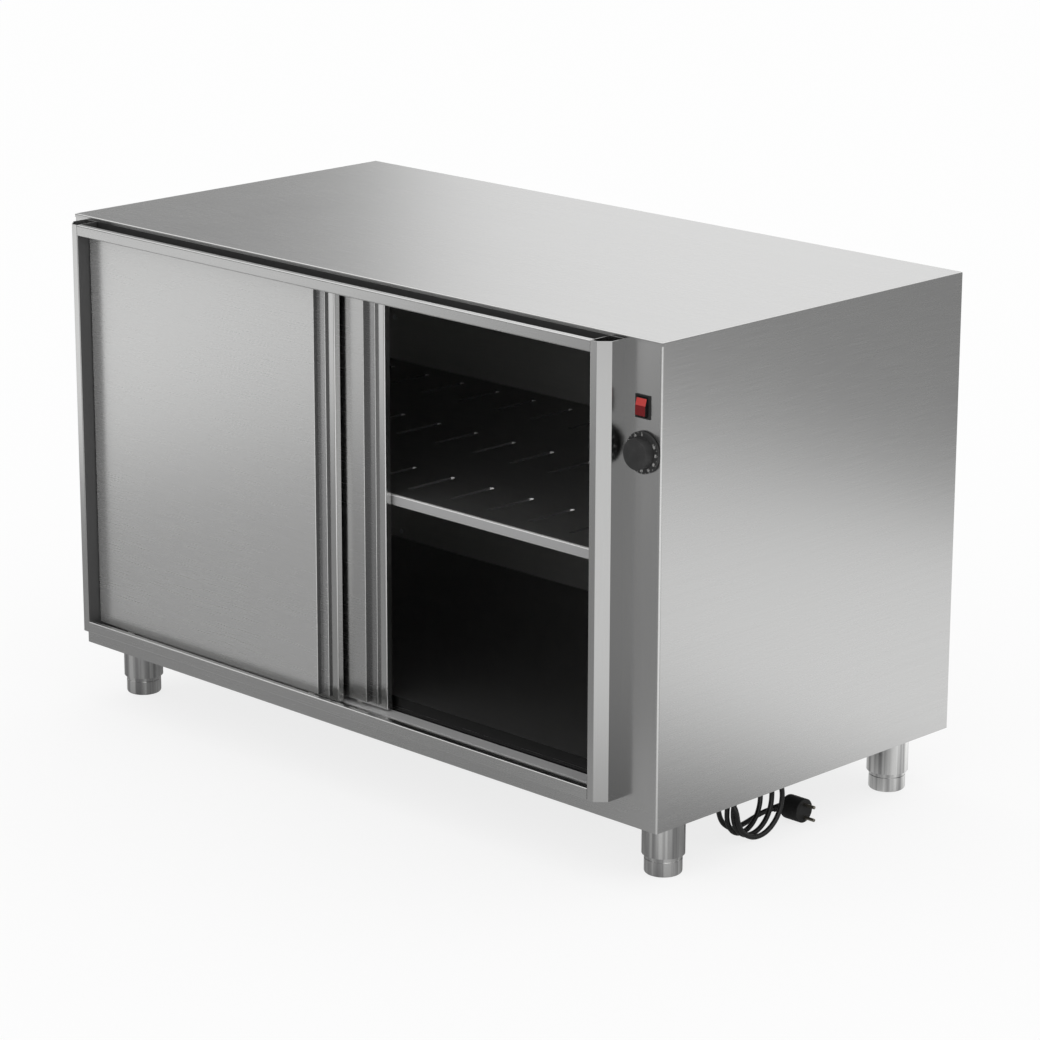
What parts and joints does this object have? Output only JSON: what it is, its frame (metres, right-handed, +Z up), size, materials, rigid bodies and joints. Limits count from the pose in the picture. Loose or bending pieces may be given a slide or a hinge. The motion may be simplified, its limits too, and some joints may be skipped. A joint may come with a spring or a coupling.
{
  "type": "plate warmer cabinet",
  "caption": "Low heated plate cabinet in stainless steel with sliding doors, a slotted shelf, a thermostat knob and rocker switch beside the doors, and stubby adjustable feet.",
  "frame": {"origin": "on the floor, under the middle of the footprint of cabinet and door frame", "axes": "+X along the cabinet towards the controls, +Y from the doors to the back, +Z up"},
  "size_m": [1.2, 0.658, 0.76],
  "materials": {
    "stainless": "brushed stainless steel sheet",
    "stainless_inner": "plain stainless steel sheet, duller than the outside",
    "rail_aluminium": "satin extruded strip",
    "board": "plain board, hidden",
    "mineral_wool": "matted mineral wool, hidden",
    "element_sheath": "heat-stained sheath",
    "zinc_steel": "bright zinc plating",
    "black_plastic": "satin black",
    "red_lens": "translucent red",
    "white_plastic": "natural nylon",
    "cord_rubber": "black rubber sheath",
    "pin_brass": "plated brass"
  },
  "bodies": {
    "cabinet": {"back_chamber_liner": "stainless_inner", "back_panel": "stainless", "base_pan": "stainless_inner", "cable_gland": "black_plastic", "chamber_ceiling": "stainless_inner", "chamber_floor": "stainless_inner", "chamber_screws": "zinc_steel", "control_fascia": "stainless", "cord_clip": "black_plastic", "cord_coil": "cord_rubber", "cord_lead": "cord_rubber", "cord_plug": "black_plastic", "cord_tail": "cord_rubber", "element_clips": "zinc_steel", "foot_screws": "zinc_steel", "foot_sleeves": "stainless", "frame_bars": "stainless", "front_rail": "stainless", "heating_element": "element_sheath", "insulation_blanket": "mineral_wool", "left_chamber_liner": "stainless_inner", "left_fascia": "stainless", "left_frame_jamb": "stainless", "left_side_panel": "stainless", "lower_track": "stainless_inner", "plug_pins": "pin_brass", "rear_rail": "rail_aluminium", "right_chamber_liner": "stainless_inner", "right_frame_jamb": "stainless", "right_side_panel": "stainless", "shelf": "stainless", "shelf_brackets": "stainless_inner", "switch_body": "black_plastic", "terminal_block": "white_plastic", "thermostat_body": "black_plastic", "thermostat_bulb": "zinc_steel", "upper_track": "stainless_inner", "worktop": "stainless", "worktop_board": "board"},
    "front_door": {"front_door_axles": "zinc_steel", "front_door_core": "board", "front_door_glides": "white_plastic", "front_door_pan": "stainless", "front_door_skin": "stainless"},
    "rear_door": {"rear_door_axles": "zinc_steel", "rear_door_core": "board", "rear_door_glides": "white_plastic", "rear_door_pan": "stainless", "rear_door_skin": "stainless"},
    "front_door_left_wheel": {"front_door_left_roller": "white_plastic"},
    "front_door_right_wheel": {"front_door_right_roller": "white_plastic"},
    "rear_door_left_wheel": {"rear_door_left_roller": "white_plastic"},
    "rear_door_right_wheel": {"rear_door_right_roller": "white_plastic"},
    "rocker_switch": {"rocker": "red_lens"},
    "control_knob": {"knob": "black_plastic", "thermostat_shaft": "zinc_steel"},
    "front_left_foot": {"front_left_foot_adjuster": "stainless_inner"},
    "back_left_foot": {"back_left_foot_adjuster": "stainless_inner"},
    "front_right_foot": {"front_right_foot_adjuster": "stainless_inner"},
    "back_right_foot": {"back_right_foot_adjuster": "stainless_inner"}
  },
  "joints": [
    {"name": "front_door_slide", "type": "slide", "parent": "cabinet", "child": "front_door", "axis": [1, 0, 0], "range_m": [0, 0.523]},
    {"name": "rear_door_slide", "type": "slide", "parent": "cabinet", "child": "rear_door", "axis": [1, 0, 0], "range_m": [-0.077, 0.446]},
    {"name": "front_door_left_roll", "type": "hinge", "parent": "front_door", "child": "front_door_left_wheel", "pos_m": [-0.4875, -0.294, 0.1328], "axis": [0, 1, 0], "continuous": true},
    {"name": "front_door_right_roll", "type": "hinge", "parent": "front_door", "child": "front_door_right_wheel", "pos_m": [-0.0775, -0.294, 0.1328], "axis": [0, 1, 0], "continuous": true},
    {"name": "rear_door_left_roll", "type": "hinge", "parent": "rear_door", "child": "rear_door_left_wheel", "pos_m": [-0.4105, -0.27, 0.1343], "axis": [0, 1, 0], "continuous": true},
    {"name": "rear_door_right_roll", "type": "hinge", "parent": "rear_door", "child": "rear_door_right_wheel", "pos_m": [-0.0005, -0.27, 0.1343], "axis": [0, 1, 0], "continuous": true},
    {"name": "rocker_tilt", "type": "hinge", "parent": "cabinet", "child": "rocker_switch", "pos_m": [0.567, -0.29, 0.6695], "axis": [1, 0, 0], "range_deg": [0, 16]},
    {"name": "knob_turn", "type": "hinge", "parent": "cabinet", "child": "control_knob", "pos_m": [0.5695, -0.291, 0.6085], "axis": [0, 1, 0], "range_deg": [0, 300]},
    {"name": "front_left_foot_adjust", "type": "slide", "parent": "cabinet", "child": "front_left_foot", "axis": [0, 0, -1], "range_m": [0, 0.03]},
    {"name": "back_left_foot_adjust", "type": "slide", "parent": "cabinet", "child": "back_left_foot", "axis": [0, 0, -1], "range_m": [0, 0.03]},
    {"name": "front_right_foot_adjust", "type": "slide", "parent": "cabinet", "child": "front_right_foot", "axis": [0, 0, -1], "range_m": [0, 0.03]},
    {"name": "back_right_foot_adjust", "type": "slide", "parent": "cabinet", "child": "back_right_foot", "axis": [0, 0, -1], "range_m": [0, 0.03]}
  ]
}
